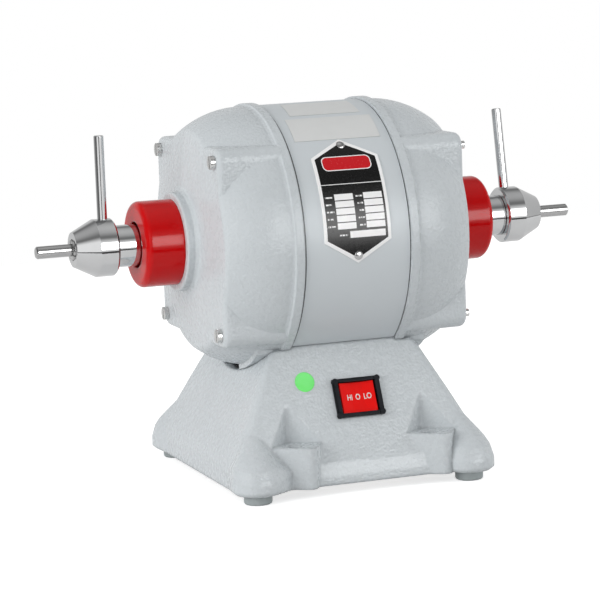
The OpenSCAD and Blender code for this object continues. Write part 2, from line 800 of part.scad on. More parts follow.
module through_bolts() {
    color(STEEL)
    at_through_bolts() rotate([0, 90, 0]) difference() {
        union() {
            translate([0, 0, -bell_end]) cylinder(r = bolt_r, h = 2 * bell_end + bolt_past);
            translate([0, 0, -bell_end - bolt_head_h]) cylinder(d = bolt_head_d, h = bolt_head_h);
        }
        translate([-bolt_head_d, -bolt_slot_w / 2, -bell_end - bolt_head_h - EPS])
            cube([2 * bolt_head_d, bolt_slot_w, bolt_head_h / 2]);
    }
}

// Half section of a race: side is 1 for the outer ring and -1 for the inner
module race(side) {
    wide_r = side > 0 ? bearing_outer_r : bearing_bore_r;
    near_r = ball_pitch_r + side * race_shoulder;
    groove_r = ball_r + race_gap;
    difference() {
        turned([[near_r, bearing_x], [wide_r, bearing_x], [wide_r, bearing_x + bearing_w],
                [near_r, bearing_x + bearing_w]]);
        translate([bearing_x + bearing_w / 2, 0, spindle_z]) rotate([0, 90, 0]) rotate_extrude($fn = TURN_FN)
            translate([ball_pitch_r, 0]) circle(r = groove_r, $fn = 48);
    }
}

// The balls and the cage that spaces them
module balls() {
    cage_half_r = 1.1;
    translate([bearing_x + bearing_w / 2, 0, spindle_z]) rotate([0, 90, 0]) {
        difference() {
            rotate_extrude($fn = TURN_FN) translate([ball_pitch_r - cage_half_r, -3.9])
                square([2 * cage_half_r, 7.8]);
            for (i = [0:ball_count - 1]) {
                rotate([0, 0, i * 360 / ball_count]) rotate([0, 90, 0])
                    cylinder(r = ball_r + race_gap, h = bearing_outer_r);
            }
        }
        for (i = [0:ball_count - 1]) {
            rotate([0, 0, i * 360 / ball_count]) translate([ball_pitch_r, 0, 0]) sphere(r = ball_r, $fn = 32);
        }
    }
}

module left_bearing_outer() {
    color(STEEL) mirror([1, 0, 0]) race(1);
}

module right_bearing_outer() {
    color(STEEL) race(1);
}

module left_bearing_inner() {
    color(STEEL) mirror([1, 0, 0]) race(-1);
}

module right_bearing_inner() {
    color(STEEL) race(-1);
}

module left_bearing_balls() {
    color(STEEL) mirror([1, 0, 0]) balls();
}

module right_bearing_balls() {
    color(STEEL) balls();
}

module bearing_spacer() {
    outer = bearing_outer_r - seat_gap;
    color(ZINC)
    mirror([1, 0, 0]) turned([[outer - 4, bearing_x + bearing_w], [outer, bearing_x + bearing_w],
                              [outer, bearing_shoulder_x], [outer - 4, bearing_shoulder_x]]);
}

module wave_washer() {
    outer = bearing_outer_r - seat_gap;
    inner = outer - 4;
    middle = bearing_x + bearing_w + spacer_t / 2;
    rings = [for (i = [0:wave_steps - 1])
             let (a = i * 360 / wave_steps, x = middle + wave_height * sin(wave_count * a))
             for (p = [[inner, -wave_t / 2], [outer, -wave_t / 2], [outer, wave_t / 2], [inner, wave_t / 2]])
             [x + p[1], p[0] * cos(a), spindle_z + p[0] * sin(a)]];
    faces = [for (i = [0:wave_steps - 1])
             for (k = [0:3])
             let (j = (i + 1) % wave_steps, m = (k + 1) % 4)
             for (f = [[4 * i + k, 4 * i + m, 4 * j + m], [4 * i + k, 4 * j + m, 4 * j + k]]) f];
    color(STEEL) polyhedron(rings, faces);
}

module snap_rings() {
    x = bearing_x + bearing_w;
    inner = bearing_bore_r - groove_depth + running_gap;
    color(STEEL)
    for (side = [0, 1]) {
        mirror([side, 0, 0]) difference() {
            turned([[inner, x], [snap_outer_r, x], [snap_outer_r, x + snap_t], [inner, x + snap_t]]);
            translate([x - 1, -2, spindle_z]) cube([snap_t + 2, 4, 20]);
        }
    }
}

module spindle_shaft() {
    seat_end = bearing_x + bearing_w + snap_t + 0.6;
    groove_x = bearing_x + bearing_w;
    half = [[0, 0], [shaft_mid_r, 0], [shaft_mid_r, bearing_x], [bearing_bore_r - running_gap, bearing_x],
            [bearing_bore_r - running_gap, groove_x], [bearing_bore_r - groove_depth, groove_x],
            [bearing_bore_r - groove_depth, groove_x + snap_t + 0.1],
            [bearing_bore_r - running_gap, groove_x + snap_t + 0.1],
            [bearing_bore_r - running_gap, seat_end], [shaft_end_r, seat_end + 0.5],
            [shaft_end_r, shaft_end_x - 1], [shaft_end_r - 1, shaft_end_x], [0, shaft_end_x]];
    color(STEEL) {
        turned(half);
        mirror([1, 0, 0]) turned(half);
    }
}

module rotor_core() {
    color(STEEL)
    turned([[shaft_mid_r + running_gap, -stack_half], [rotor_r, -stack_half], [rotor_r, stack_half],
            [shaft_mid_r + running_gap, stack_half]]);
}

module rotor_end_rings() {
    ring_in = rotor_r - 17;
    ring_out = rotor_r - 1.5;
    color(ZINC)
    for (side = [0, 1]) {
        mirror([side, 0, 0]) {
            turned([[ring_in, stack_half], [ring_out, stack_half], [ring_out - 1.5, stack_half + end_ring_t],
                    [ring_in + 1, stack_half + end_ring_t]]);
            for (i = [0:fin_count - 1]) {
                translate([stack_half + end_ring_t - EPS, 0, spindle_z]) rotate([i * 360 / fin_count, 0, 0])
                    translate([0, -1.5, ring_in + 3]) cube([fin_l, 3, ring_out - ring_in - 7]);
            }
        }
    }
}

module hub_cap() {
    inner = cap_r - cap_wall;
    edge = [for (p = arc(cap_front - cap_edge_r, cap_r - cap_edge_r, cap_edge_r, 90, 0, 6)) [p[1], p[0]]];
    turned(concat([[cap_r, hub_face]], edge,
                  [[cap_hole_r, cap_front], [cap_hole_r, cap_front - cap_wall],
                   [inner - 2, cap_front - cap_wall], [inner, cap_front - cap_wall - 2], [inner, hub_face]]));
}

module left_hub_cap() {
    color(RED) mirror([1, 0, 0]) hub_cap();
}

module right_hub_cap() {
    color(RED) hub_cap();
}

module chuck_body() {
    neck = nose_back - seat_gap;
    difference() {
        turned([[shaft_end_r + running_gap, sleeve_x], [sleeve_r - 0.8, sleeve_x], [sleeve_r, sleeve_x + 0.8],
                [sleeve_r, neck], [nose_thread_r, neck], [nose_thread_r, body_front - 0.8],
                [nose_thread_r - 0.8, body_front], [collet_shank_r + running_gap, body_front],
                [collet_shank_r + running_gap, shaft_end_x + 1], [shaft_end_r + running_gap, shaft_end_x + 1]]);
        translate([set_screw_x, 0, spindle_z]) cylinder(r = set_screw_r + running_gap, h = 20);
    }
}

module left_chuck_body() {
    color(STEEL) mirror([1, 0, 0]) chuck_body();
}

module right_chuck_body() {
    color(STEEL) chuck_body();
}

module chuck_set_screws() {
    foot = shaft_end_r + 0.1;
    color(BLACK)
    for (side = [-1, 1]) {
        translate([side * set_screw_x, 0, spindle_z + foot]) difference() {
            cylinder(r = set_screw_r, h = sleeve_r - foot - 0.6);
            translate([0, 0, sleeve_r - foot - 2.6]) cylinder(r = 1.4, h = 5, $fn = 6);
        }
    }
}

module collet() {
    head_x = body_front + seat_gap;
    difference() {
        turned([[0, collet_back], [collet_shank_r, collet_back], [collet_shank_r, head_x],
                [collet_head_r, head_x], [collet_tip_r, collet_tip], [0, collet_tip]]);
        on_spindle(pin_shank_r + running_gap, pin_back - seat_gap, FAR);
        for (i = [0:collet_slots - 1]) {
            translate([pin_back + 8, 0, spindle_z]) rotate([i * 360 / collet_slots, 0, 0])
                translate([0, -collet_slot_w / 2, 0]) cube([60, collet_slot_w, 12]);
        }
    }
}

module left_collet() {
    color(STEEL) mirror([1, 0, 0]) collet();
}

module right_collet() {
    color(STEEL) collet();
}

module nose() {
    thread = nose_thread_r + running_gap;
    seat_x = body_front + seat_gap;
    slope = (collet_head_r - collet_tip_r) / (collet_tip - seat_x);
    throat = collet_head_r + seat_gap;
    mouth = throat - slope * (nose_front - seat_x);
    difference() {
        turned([[thread, nose_back], [nose_r - nose_edge, nose_back], [nose_r, nose_back + nose_edge],
                [nose_r, nose_back + nose_straight], [nose_tip_r, nose_front], [mouth, nose_front],
                [throat, seat_x], [thread, seat_x]]);
        translate([bar_x, 0, spindle_z]) cylinder(r = bar_r + 2 * running_gap, h = 40);
    }
}

module left_nose() {
    color(STEEL) mirror([1, 0, 0]) nose();
}

module right_nose() {
    color(STEEL) translate([0, 0, spindle_z]) rotate([-bar_lean, 0, 0]) translate([0, 0, -spindle_z]) nose();
}

// A plain pin whose shoulder stops at the collet's face
module arbor() {
    turned([[0, pin_back], [pin_shank_r, pin_back], [pin_shank_r, pin_shoulder], [pin_r, pin_shoulder],
            [pin_r, pin_tip - pin_chamfer], [pin_r - pin_chamfer, pin_tip], [0, pin_tip]]);
}

module left_arbor() {
    color(STEEL) mirror([1, 0, 0]) arbor();
}

module right_arbor() {
    color(STEEL) arbor();
}

module tommy_bar() {
    foot = nose_thread_r + seat_gap;
    translate([bar_x, 0, spindle_z]) rotate_extrude()
        polygon([[0, foot], [bar_r - bar_chamfer, foot], [bar_r, foot + bar_chamfer],
                 [bar_r, bar_reach - bar_chamfer], [bar_r - bar_chamfer, bar_reach], [0, bar_reach]]);
}

module left_tommy_bar() {
    color(STEEL) mirror([1, 0, 0]) tommy_bar();
}

module right_tommy_bar() {
    color(STEEL)
    translate([0, 0, spindle_z]) rotate([-bar_lean, 0, 0]) translate([0, 0, -spindle_z]) tommy_bar();
}

// A thin sheet wrapped on the shell, cut to an outline in x and distance round the shell's middle angle
module wrapped(angle, thickness, points) {
    inner = shell_r + plate_gap;
    intersection() {
        difference() {
            on_spindle(inner + thickness, -shell_half, shell_half);
            on_spindle(inner, -FAR, FAR);
        }
        translate([0, 0, spindle_z]) rotate([90 - angle, 0, 0])
            linear_extrude(FAR) polygon(points);
    }
}

// Distance from the middle line of a wrapped sheet for an angle on the shell
function wrap(angle) = shell_r * sin(angle);

module rating_plate() {
    w = rating_half_w;
    color(BLACK)
    wrapped(rating_mid, sheet_t,
            [[-w, wrap(-rating_corner)], [0, wrap(-rating_apex)], [w, wrap(-rating_corner)],
             [w, wrap(rating_corner)], [0, wrap(rating_apex)], [-w, wrap(rating_corner)]]);
}

module rating_plate_rivets() {
    dome_h = rivet_h - rivet_edge;
    dome_r = (rivet_r * rivet_r + dome_h * dome_h) / (2 * dome_h);
    color(STEEL)
    for (a = [rating_mid - rivet_angle, rating_mid + rivet_angle]) {
        translate([0, 0, spindle_z]) rotate([90 - a, 0, 0])
            translate([0, 0, shell_r + plate_gap + sheet_t + rivet_gap])
                intersection() {
                    translate([0, 0, rivet_h - dome_r]) sphere(r = dome_r);
                    cylinder(r = rivet_r, h = rivet_h);
                }
    }
}

module shell_labels() {
    color("whitesmoke") {
        for (l = labels) {
            half = wrap(l[1]);
            wrapped(l[0], label_t, [[l[2], -half], [l[3], -half], [l[5], half], [l[4], half]]);
        }
    }
}

module inspection_sticker() {
    color("lightgreen")
    on_front_wall(sticker_x, sticker_z) translate([0, 0, plate_gap]) cylinder(r = sticker_r, h = label_t);
}

pedestal();
bottom_plate();
bottom_plate_screws();
rubber_feet();
foot_screws();
cord_bushing();
switch_housing();
switch_rocker();
run_capacitor();
capacitor_clamp();
clamp_screws();
motor_bolts();
lead_grommet();
lead_wires();
stator_shell();
stator_core();
stator_windings();
left_end_bell();
right_end_bell();
through_bolts();
left_bearing_outer();
right_bearing_outer();
left_bearing_balls();
right_bearing_balls();
left_bearing_inner();
right_bearing_inner();
bearing_spacer();
wave_washer();
snap_rings();
spindle_shaft();
rotor_core();
rotor_end_rings();
left_hub_cap();
right_hub_cap();
left_chuck_body();
right_chuck_body();
chuck_set_screws();
left_collet();
right_collet();
left_nose();
right_nose();
left_arbor();
right_arbor();
left_tommy_bar();
right_tommy_bar();
rating_plate();
rating_plate_rivets();
shell_labels();
inspection_sticker();
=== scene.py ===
"""Looks of a double-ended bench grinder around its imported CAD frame.

Metres, X along the spindle, Y to the back, Z up, the bench at Z = 0.
"""
import json
import math

import bpy
from mathutils import Matrix, Vector
from mathutils.bvhtree import BVHTree


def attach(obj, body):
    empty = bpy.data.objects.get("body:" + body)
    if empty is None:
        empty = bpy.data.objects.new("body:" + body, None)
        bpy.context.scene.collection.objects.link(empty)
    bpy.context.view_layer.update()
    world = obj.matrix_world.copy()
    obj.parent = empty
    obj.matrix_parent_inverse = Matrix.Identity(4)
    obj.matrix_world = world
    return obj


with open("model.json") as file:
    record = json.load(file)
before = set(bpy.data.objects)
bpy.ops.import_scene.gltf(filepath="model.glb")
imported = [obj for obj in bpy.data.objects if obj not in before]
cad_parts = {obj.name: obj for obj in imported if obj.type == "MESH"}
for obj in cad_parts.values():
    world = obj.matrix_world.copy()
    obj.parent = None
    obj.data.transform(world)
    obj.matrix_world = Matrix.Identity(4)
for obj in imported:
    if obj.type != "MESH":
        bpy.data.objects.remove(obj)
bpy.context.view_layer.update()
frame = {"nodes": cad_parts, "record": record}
nodes = frame["nodes"]

MM = 0.001

# The spindle's height, and the outer radius and middle angle of the rating plate rolled round the shell
SPINDLE_Z = 158 * MM
PLATE_R = 84.5 * MM
PLATE_ANGLE = math.radians(20.5)

# Where the shell's colour turns to painted shade on each side: a dark band that stands for the shadow in its
# joints with the end bells
SHELL_SHADE_FROM = (-34.5 * MM, 35.3 * MM)

# The pedestal's front wall, which slopes between two heights, and the rocker switch on it
WALL_FOOT_Y = 85.5 * MM
WALL_TOP_Y = 51.2 * MM
WALL_FOOT_Z = 16 * MM
WALL_TOP_Z = 92.5 * MM
SWITCH_X = 3 * MM
SWITCH_Z = 57.5 * MM

# The rocker's printed marks: piece, text and place along the rocker
MARKS = (("mark_high", "HI", -5.6 * MM), ("mark_off", "O", 0.0), ("mark_low", "LO", 6.5 * MM))
MARK_HEIGHT = 5.2 * MM
MARK_NARROW = 0.78
MARK_BOLD = 0.1 * MM
# Half the letters' thickness, and how far off the rocker the search for its face starts
MARK_THICK = 0.03 * MM
MARK_REACH = 10 * MM

# Camera: its place, the direction it looks in, its roll, and the lens
CAMERA_PLACE = (-0.6120, -1.6308, 0.3753)
CAMERA_AZIMUTH = 20.291
CAMERA_ELEVATION = 8.589
CAMERA_ROLL = -2.087
CAMERA_LENS = 160.8
CAMERA_SENSOR = 36
CAMERA_CLIP = (0.05, 50)

# Lamps: name, place, side of the square and watts; they all face the middle of the machine
LAMPS = (
    ("left", (-2.0, -0.7, 0.75), 1.4, 24),
    ("front_left", (-1.2, -1.9, 0.9), 1.2, 2),
    ("right", (2.0, -0.4, 0.6), 1.2, 13),
)
LAMP_TARGET = (0, 0, 0.12)

# The floor's half width, its front and back edges, its tone, and what the eye and metal see added to it
FLOOR_X = 0.95
FLOOR_Y = (-0.5, 1.1)
FLOOR_TONE = 0.76
FLOOR_FOR_EYE = 0.66
FLOOR_IN_METAL = 0.17

# The world's strength for the paint, the eye and metal
SOFT_LIGHT = 0.65
WHITE_LIGHT = 1.0
ROOM_LIGHT = 6.0

# The room that metal reflects, as (degrees, level). Upwards from straight down: a pale floor, a dark strip
# under the horizon, dim walls, and a ceiling that grows paler.
ROOM_BY_HEIGHT = ((-90, 0.12), (-26, 0.12), (-24, 0.012), (-11, 0.012), (-9, 0.035), (48, 0.040),
                  (62, 0.085), (76, 0.11), (90, 0.16))
# Round from the back by +X and the front to -X, at the height of the window: a pale wall, two softboxes with
# a dark gap between them, and a dim wall that grows paler towards the back.
ROOM_BY_SIDE = ((-180, 0.12), (-50, 0.10), (-48, 0.17), (3, 0.17), (5, 0.012), (20, 0.012),
                (22, 0.19), (57, 0.19), (61, 0.030), (90, 0.024), (100, 0.04),
                (130, 0.065), (150, 0.12), (180, 0.12))
# Where the window's foot and top begin and end to fade, in degrees
WINDOW_FOOT = (-10, -9)
WINDOW_TOP = (26, 42)
# The right softbox has a brighter core: its sides and its heights, each with its softness, and its level
CORE_SIDES = (-48, 3.5, 1.5)
CORE_HEIGHTS = (-1, 23, 2.5)
CORE_LEVEL = 1.1


# ---------------------------------------------------------------- node trees

class Nodes:
    """A node tree, and short ways to add nodes to it."""

    def __init__(self, tree):
        self.tree = tree

    def add(self, kind, values=(), **settings):
        """Adds a node; values are (input name or number, value or output socket)."""
        node = self.tree.nodes.new(kind)
        for key, value in settings.items():
            setattr(node, key, value)
        for key, value in values:
            self.feed(node.inputs[key], value)
        return node

    def feed(self, socket, value):
        """Links an output socket to an input, or sets the input's own value."""
        if isinstance(value, bpy.types.NodeSocket):
            self.tree.links.new(value, socket)
        else:
            socket.default_value = value

    def math(self, operation, a, b=0.0):
        return self.add("ShaderNodeMath", ((0, a), (1, b)), operation=operation).outputs[0]

    def split(self, vector):
        """The x, y and z of a vector."""
        return self.add("ShaderNodeSeparateXYZ", ((0, vector),)).outputs

    def span(self, value, low, high, to_low=0.0, to_high=1.0):
        """Maps value from low..high to to_low..to_high, held at the ends."""
        return self.add("ShaderNodeMapRange", (("Value", value), ("From Min", low), ("From Max", high),
                                               ("To Min", to_low), ("To Max", to_high))).outputs["Result"]

    def mix(self, factor, a, b, blend="MIX"):
        """A colour between a and b; each is a socket or three numbers."""
        node = self.add("ShaderNodeMix", (("Factor", factor),), data_type="RGBA", blend_type=blend)
        for socket, value in ((node.inputs[6], a), (node.inputs[7], b)):
            self.feed(socket, value if isinstance(value, bpy.types.NodeSocket) else (*value, 1))
        return node.outputs[2]


class Shader(Nodes):
    """A material with one Principled shader."""

    def __init__(self, name, color, roughness, metallic=0.0):
        self.material = bpy.data.materials.new(name)
        self.material.use_nodes = True
        super().__init__(self.material.node_tree)
        self.principled = self.tree.nodes["Principled BSDF"]
        self.set("Metallic", metallic)
        self.set("Roughness", roughness)
        self.set("Base Color", (*color, 1))
        self.place = self.add("ShaderNodeTexCoord").outputs["Object"]

    def set(self, name, value):
        self.feed(self.principled.inputs[name], value)

    def stretched(self, x, y, z):
        """The object's place, scaled by a factor along each axis."""
        values = (("Vector", self.place), ("Scale", (x, y, z)))
        return self.add("ShaderNodeMapping", values).outputs["Vector"]

    def noise(self, size, detail=3.0, roughness=0.5, vector=None):
        """Noise whose features are about size metres across."""
        values = (("Vector", vector or self.place), ("Scale", 1 / size),
                  ("Detail", detail), ("Roughness", roughness))
        return self.add("ShaderNodeTexNoise", values).outputs["Fac"]

    def bump(self, height, depth, normal=None, strength=1.0):
        values = [("Height", height), ("Distance", depth), ("Strength", strength)]
        if normal:
            values.append(("Normal", normal))
        return self.add("ShaderNodeBump", values).outputs["Normal"]

    def soft_edges(self, radius):
        """A normal that rounds off the edges of the shape."""
        return self.add("ShaderNodeBevel", (("Radius", radius),), samples=6).outputs["Normal"]


# ---------------------------------------------------------------- materials

def paint(name, light, dark, grain, grain_depth, roughness, edge, shade_from=None, specular=0.45):
    """Stoved enamel: a soft grain, a slow change of tone, and, along x outside the given limits, painted
    shade that stands for a joint's shadow.

    The grain fades on faces that look along the spindle.
    """
    s = Shader(name, light, roughness)
    fine = s.noise(grain, detail=1.0, roughness=0.45)
    slow = s.noise(0.045, detail=2.0)
    color = s.mix(s.span(slow, 0.32, 0.68), dark, light)
    # Outside these limits the colour is darkened to painted shade, standing for the shadow in the joint
    # between parts
    if shade_from:
        x = s.split(s.place)[0]
        in_joint_shade = s.math("MAXIMUM", s.math("LESS_THAN", x, shade_from[0]), s.math("GREATER_THAN", x, shade_from[1]))
        color = s.mix(in_joint_shade, color, tuple(c * 0.16 for c in dark))
    s.set("Base Color", color)
    coarse = s.noise(grain * 2.0, detail=2.0)
    s.set("Roughness", s.span(coarse, 0.3, 0.7, roughness - 0.05, roughness + 0.06))
    facing = s.add("ShaderNodeTexCoord").outputs["Normal"]
    endwise = s.math("ABSOLUTE", s.split(facing)[0])
    strength = s.span(endwise, 0.5, 0.8, to_low=1.0, to_high=0.08)
    s.set("Normal", s.bump(fine, grain_depth, s.soft_edges(edge), strength))
    s.set("Specular IOR Level", specular)
    return s.material


def glossy_enamel(name, light, dark):
    """Deep gloss enamel with a trace of orange peel."""
    s = Shader(name, light, 0.10)
    s.set("Base Color", s.mix(s.noise(0.02, detail=2.0), dark, light))
    s.set("Roughness", s.span(s.noise(0.006), 0.3, 0.7, 0.07, 0.14))
    s.set("Normal", s.bump(s.noise(0.005, detail=2.0), 0.00003, s.soft_edges(0.0015)))
    s.set("Specular IOR Level", 0.24)
    return s.material


def bright_metal(name, color, roughness, mark, mark_depth, stretch=(1.0, 1.0, 1.0)):
    """Plated or ground metal; mark is the size of its tool marks and stretch their run along each axis."""
    s = Shader(name, color, roughness, metallic=1.0)
    lines = s.noise(mark, roughness=0.6, vector=s.stretched(*stretch))
    smudge = s.noise(0.012)
    s.set("Roughness", s.math("ADD", s.span(lines, 0.35, 0.65, roughness * 0.7, roughness * 1.3),
                              s.span(smudge, 0.45, 0.75, 0.0, roughness * 0.5)))
    s.set("Base Color", s.mix(smudge, color, tuple(c * 0.88 for c in color)))
    s.set("Normal", s.bump(lines, mark_depth, s.soft_edges(0.0004)))
    return s.material


def moulded(name, color, worn, grain, depth, roughness, edge=0.0005, polish=0.07, specular=0.3):
    """Moulded rubber, plastic or print with a fine grain, and patches of a second tone and gloss."""
    s = Shader(name, color, roughness)
    fine = s.noise(grain, detail=4.0, roughness=0.6)
    patch = s.noise(0.009)
    s.set("Base Color", s.mix(s.span(patch, 0.4, 0.75), color, worn))
    s.set("Roughness", s.span(patch, 0.3, 0.7, roughness - polish, roughness + polish))
    s.set("Normal", s.bump(fine, depth, s.soft_edges(edge)))
    s.set("Specular IOR Level", specular)
    return s.material


def red_plastic(name, light, dark):
    """The rocker's clear red moulding, glossy, with a slight change of tone."""
    s = Shader(name, light, 0.14)
    s.set("Base Color", s.mix(s.noise(0.006, detail=2.0), light, dark))
    s.set("Normal", s.bump(s.noise(0.0012, detail=2.0), 0.000004, s.soft_edges(0.0005)))
    s.set("Specular IOR Level", 0.16)
    return s.material


def rating_print(name):
    """Black plate with a bare border, a red bar and blank cells, in millimetres about its middle."""
    border_x, border_apex, border_corner = 20.4, 38.8, 26.9
    columns = ((-13.0, -0.5), (6.4, 19.0))
    rows, row_pitch, row_height = 5, 4.6, 3.95
    first_row_top, first_caption = 2.3, 0.3
    half_stroke = 0.5

    s = Shader(name, (0.012, 0.012, 0.013), 0.22)
    s.set("Specular IOR Level", 0.3)
    x, y, z = s.split(s.place)
    angle = s.math("ARCTAN2", s.math("SUBTRACT", z, SPINDLE_Z), s.math("MULTIPLY", y, -1.0))
    along = s.math("MULTIPLY", s.math("SUBTRACT", angle, PLATE_ANGLE), PLATE_R)

    def inside(value, centre, half):
        """1 where value is within half of centre."""
        return s.math("LESS_THAN", s.math("ABSOLUTE", s.math("SUBTRACT", value, centre)), half)

    def rectangle(x0, x1, a0, a1):
        """1 between x0 and x1 across the plate and a0 and a1 up it."""
        return s.math("MULTIPLY", inside(x, (x0 + x1) / 2 * MM, (x1 - x0) / 2 * MM),
                      inside(along, (a0 + a1) / 2 * MM, (a1 - a0) / 2 * MM))

    def rounded(x0, x1, a0, a1, corner):
        """Like rectangle, with rounded corners."""
        out = []
        for value, low, high in ((x, x0, x1), (along, a0, a1)):
            away = s.math("ABSOLUTE", s.math("SUBTRACT", value, (low + high) / 2 * MM))
            over = s.math("MAXIMUM", s.math("SUBTRACT", away, ((high - low) / 2 - corner) * MM), 0.0)
            out.append(s.math("MULTIPLY", over, over))
        return s.math("LESS_THAN", s.math("SQRT", s.math("ADD", *out)), corner * MM)

    def either(*masks):
        total = masks[0]
        for mask in masks[1:]:
            total = s.math("MAXIMUM", total, mask)
        return total

    # The black field is a hexagon inside the bare border
    across = s.math("ABSOLUTE", x)
    up = s.math("ABSOLUTE", along)
    slope = (border_apex - border_corner) / border_x
    within_sides = s.math("LESS_THAN", across, border_x * MM)
    roofline = s.math("ADD", up, s.math("MULTIPLY", across, slope))
    field = s.math("MULTIPLY", within_sides, s.math("LESS_THAN", roofline, border_apex * MM))

    # Two columns of blank cells with a caption beside each, and a wide cell below them
    cells = [rectangle(-5.1, 18.8, -25.8, -21.6)]
    for left, right in columns:
        for row in range(rows):
            top = first_row_top - row_pitch * row
            cells.append(rectangle(left, right, top - row_height, top))
    captions = [rectangle(-12.4, -6.4, -24.3, -23.3)]
    for row in range(rows):
        middle = first_caption - row_pitch * row
        low, high = middle - half_stroke, middle + half_stroke
        captions.append(rectangle(-19.3, -14.4 - 0.8 * (row % 2), low, high))
        captions.append(rectangle(1.2 + 0.7 * (row % 3), 5.6, low, high))
    rule = rectangle(-border_x, border_x, 8.5, 8.95)

    # The captions are broken up, as small print is from a distance
    strokes = s.noise(0.0009, detail=2.0, vector=s.stretched(1.0, 0.12, 0.12))
    caption = s.math("MULTIPLY", either(*captions), s.span(strokes, 0.42, 0.52, 0.15, 1.0))

    wear = s.noise(0.0015, detail=4.0, roughness=0.6)
    black = s.mix(wear, (0.003, 0.003, 0.003), (0.006, 0.006, 0.006))
    white = s.mix(wear, (0.90, 0.90, 0.90), (0.84, 0.84, 0.84))
    color = s.mix(either(*cells, rule, rounded(-16.4, 16.6, 18.0, 28.4, 3.6)), black, white)
    color = s.mix(caption, color, white)
    color = s.mix(rounded(-15.8, 16.0, 18.6, 27.8, 3.1), color, (0.55, 0.006, 0.012))
    s.set("Base Color", s.mix(field, white, color))
    s.set("Roughness", s.span(wear, 0.3, 0.7, 0.20, 0.30))
    s.set("Normal", s.bump(wear, 0.000004))
    return s.material


GREY = (0.556, 0.592, 0.612)
GREY_LOW = (0.536, 0.572, 0.592)
SHELL_GREY = (0.572, 0.610, 0.632)
SHELL_GREY_LOW = (0.557, 0.595, 0.617)

made = {
    "casting_paint": paint("casting_enamel", GREY, GREY_LOW,
                           grain=0.0017, grain_depth=0.00032, roughness=0.27, edge=0.0030),
    "bell_paint": paint("bell_enamel", GREY, GREY_LOW,
                        grain=0.0018, grain_depth=0.00036, roughness=0.28, edge=0.0012, specular=0.32),
    "shell_paint": paint("shell_enamel", SHELL_GREY, SHELL_GREY_LOW,
                         grain=0.0022, grain_depth=0.000008, roughness=0.40, edge=0.0004, shade_from=SHELL_SHADE_FROM),
    "red_enamel": glossy_enamel("red_enamel", (0.56, 0.0008, 0.0020), (0.50, 0.0006, 0.0016)),
    "chrome": bright_metal("polished_chrome", (0.66, 0.665, 0.67), roughness=0.05,
                           mark=0.0009, mark_depth=0.000002, stretch=(1.0, 0.15, 0.15)),
    "steel": bright_metal("ground_steel", (0.50, 0.50, 0.50), roughness=0.16,
                          mark=0.0006, mark_depth=0.000006, stretch=(1.0, 0.08, 0.08)),
    "zinc_steel": bright_metal("zinc_plate", (0.72, 0.72, 0.71), roughness=0.22,
                               mark=0.0012, mark_depth=0.00001),
    "dark_steel": bright_metal("black_oxide", (0.06, 0.06, 0.065), roughness=0.38,
                               mark=0.0012, mark_depth=0.00001),
    "laminations": bright_metal("laminations", (0.30, 0.30, 0.31), roughness=0.42,
                                mark=0.0005, mark_depth=0.00004, stretch=(1.0, 0.05, 0.05)),
    "die_cast": bright_metal("die_cast", (0.55, 0.56, 0.57), roughness=0.45,
                             mark=0.0015, mark_depth=0.00004),
    "copper": bright_metal("enamelled_copper", (0.60, 0.25, 0.10), roughness=0.30,
                           mark=0.0008, mark_depth=0.00015, stretch=(0.1, 1.0, 1.0)),
    "foot_rubber": moulded("foot_rubber", (0.34, 0.375, 0.380), (0.38, 0.415, 0.42),
                           grain=0.0006, depth=0.00003, roughness=0.60, edge=0.0008),
    "black_rubber": moulded("black_rubber", (0.016, 0.016, 0.018), (0.030, 0.030, 0.032),
                            grain=0.0006, depth=0.00003, roughness=0.62),
    "black_plastic": moulded("black_plastic", (0.005, 0.006, 0.008), (0.010, 0.011, 0.014),
                             grain=0.0004, depth=0.00001, roughness=0.36, polish=0.04, specular=0.13),
    "wire_pvc": moulded("wire_insulation", (0.30, 0.03, 0.02), (0.24, 0.03, 0.02),
                        grain=0.0010, depth=0.00001, roughness=0.45),
    "label_white": moulded("blank_label", (0.640, 0.650, 0.645), (0.625, 0.635, 0.630),
                           grain=0.0006, depth=0.000001, roughness=0.40, edge=0.0002, polish=0.01),
    "sticker_green": moulded("green_sticker", (0.19, 0.86, 0.20), (0.23, 0.88, 0.25),
                             grain=0.0008, depth=0.000004, roughness=0.60),
    "mark_white": moulded("mark_white", (0.86, 0.84, 0.82), (0.80, 0.78, 0.76),
                          grain=0.0005, depth=0.000002, roughness=0.40),
    "red_plastic": red_plastic("red_moulding", (0.86, 0.006, 0.004), (0.76, 0.004, 0.003)),
    "plate_black": rating_print("rating_print"),
}

# Each node takes its slot's material, but the bells have a slightly duller paint than the pedestal
slot_of = {row["node"]: row["material_slot"] for row in frame["record"]["subparts"]}
for name, piece in nodes.items():
    piece.data.materials.clear()
    piece.data.materials.append(made["bell_paint" if name.endswith("end_bell") else slot_of[name]])


# ---------------------------------------------------------------- printed marks

def letters(name, text):
    """A mesh of flat letters about the origin, in the X-Y plane."""
    curve = bpy.data.curves.new(name, "FONT")
    curve.body = text
    curve.size = MARK_HEIGHT
    curve.align_x = "CENTER"
    curve.align_y = "CENTER"
    curve.extrude = MARK_THICK
    curve.offset = MARK_BOLD
    holder = bpy.data.objects.new(name + "_letters", curve)
    bpy.context.scene.collection.objects.link(holder)
    bpy.context.view_layer.update()
    mesh = bpy.data.meshes.new_from_object(holder.evaluated_get(bpy.context.evaluated_depsgraph_get()))
    bpy.data.objects.remove(holder)
    return mesh


